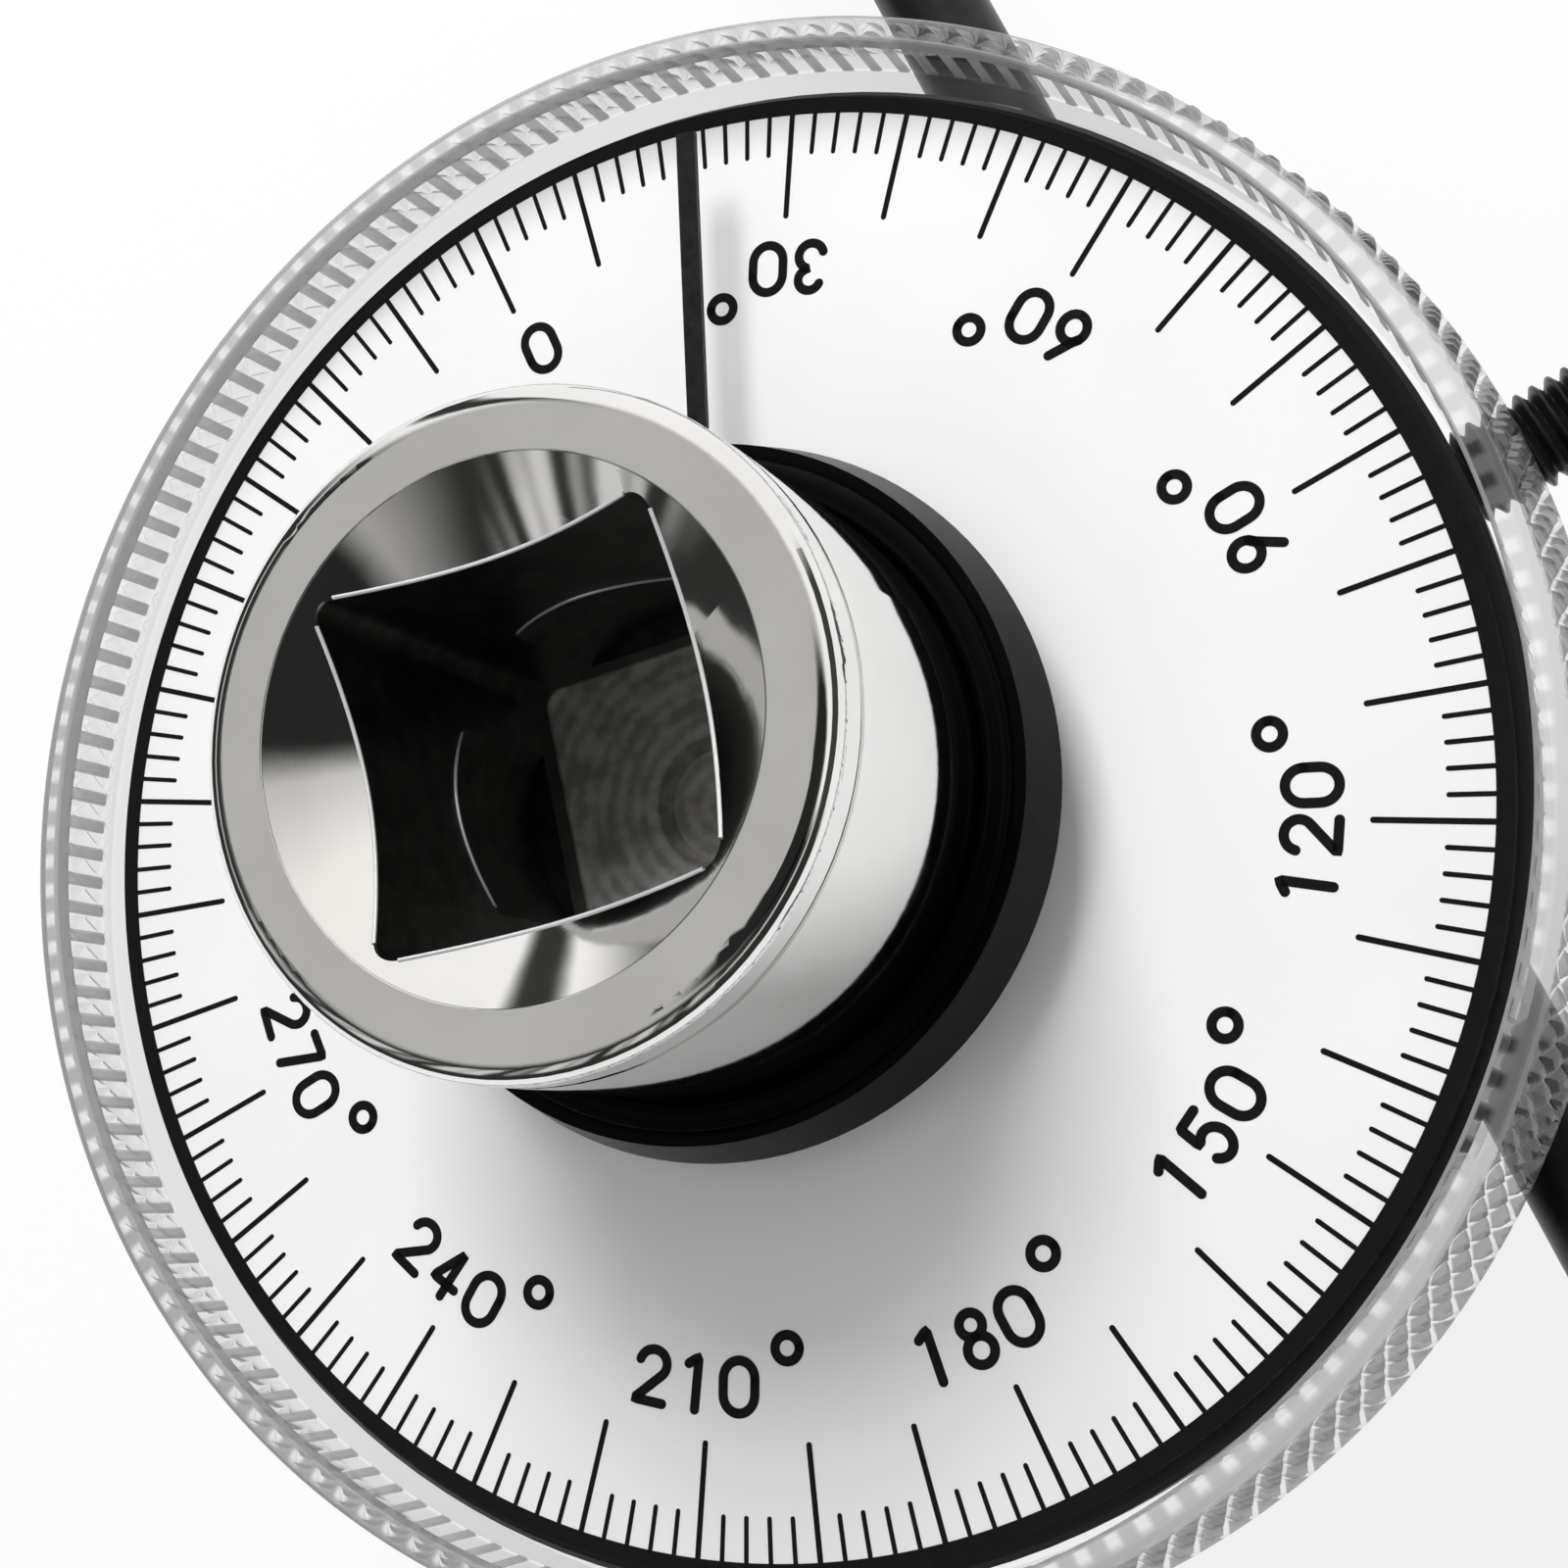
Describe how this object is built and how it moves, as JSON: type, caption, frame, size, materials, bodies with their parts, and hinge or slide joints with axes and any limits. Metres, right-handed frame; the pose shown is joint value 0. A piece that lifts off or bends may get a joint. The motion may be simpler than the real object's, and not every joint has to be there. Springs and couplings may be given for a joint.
{
  "type": "torque angle gauge",
  "caption": "Square-drive torque angle gauge: a socketed spindle turns through a round degree dial under a clear knurled pointer cover, with a stop rod and thumb screw.",
  "frame": {"origin": "centre of the end face of the male drive square", "axes": "+Z along the drive axis towards the socket mouth, +Y towards dial zero and along the stop rod, +X towards dial 90 and the clamp screw"},
  "size_m": [0.0815, 0.1626, 0.057],
  "materials": {
    "chrome_steel": "polished chrome plate",
    "bright_steel": "zinc plated",
    "spring_steel": "plain spring steel",
    "black_steel": "black oxide, oiled",
    "bronze": "turned",
    "black_plastic": "moulded, satin gloss",
    "white_dial": "matt white face",
    "clear_acrylic": "clear moulded acrylic",
    "black_ink": "filled line",
    "black_rubber": "matt rubber"
  },
  "bodies": {
    "spindle": {"drive_spindle": "chrome_steel", "detent_spring": "spring_steel", "thrust_washer": "spring_steel", "disc_spring": "spring_steel", "rear_washer": "bright_steel", "retaining_ring": "black_steel"},
    "detent": {"detent_ball": "bright_steel"},
    "housing": {"base_housing": "black_plastic", "bearing_bush": "bronze", "dial_plate": "white_dial", "rear_cover": "black_plastic", "rear_screws": "bright_steel", "thread_insert": "bronze"},
    "cover": {"bezel_ring": "clear_acrylic", "lens": "clear_acrylic", "pointer": "black_ink", "collar": "black_plastic", "friction_ring": "black_rubber"},
    "rod": {"stop_rod": "black_steel", "rod_end_caps": "black_rubber"},
    "pad": {"clamp_pad": "bronze"},
    "clamp_screw": {"clamp_stud": "black_steel", "clamp_knob": "black_plastic"}
  },
  "joints": [
    {"name": "housing_turn", "type": "hinge", "parent": "spindle", "child": "housing", "pos_m": [0, 0, 0.0363], "axis": [0, 0, 1], "continuous": true},
    {"name": "pointer_turn", "type": "hinge", "parent": "spindle", "child": "cover", "pos_m": [0, 0, 0.0363], "axis": [0, 0, 1], "continuous": true},
    {"name": "rod_slide", "type": "slide", "parent": "housing", "child": "rod", "axis": [0, 1, 0], "range_m": [-0.08, 0.02]},
    {"name": "clamp_travel", "type": "slide", "parent": "housing", "child": "pad", "axis": [1, 0, 0], "range_m": [-0.00017, 0.0014]},
    {"name": "clamp_turn", "type": "hinge", "parent": "pad", "child": "clamp_screw", "pos_m": [0.0245, 0, 0.0263], "axis": [1, 0, 0], "range_deg": [-91, 721]},
    {"name": "detent_press", "type": "slide", "parent": "spindle", "child": "detent", "axis": [-0.225, -0.9744, 0], "range_m": [-0.0008, 0], "stiffness_N_per_m": 100, "springref_m": 0.0005, "deforming": ["detent_spring"]}
  ],
  "couplings": [
    {"joint": "clamp_turn", "follows": "clamp_travel", "rad_per_m": 8976}
  ]
}
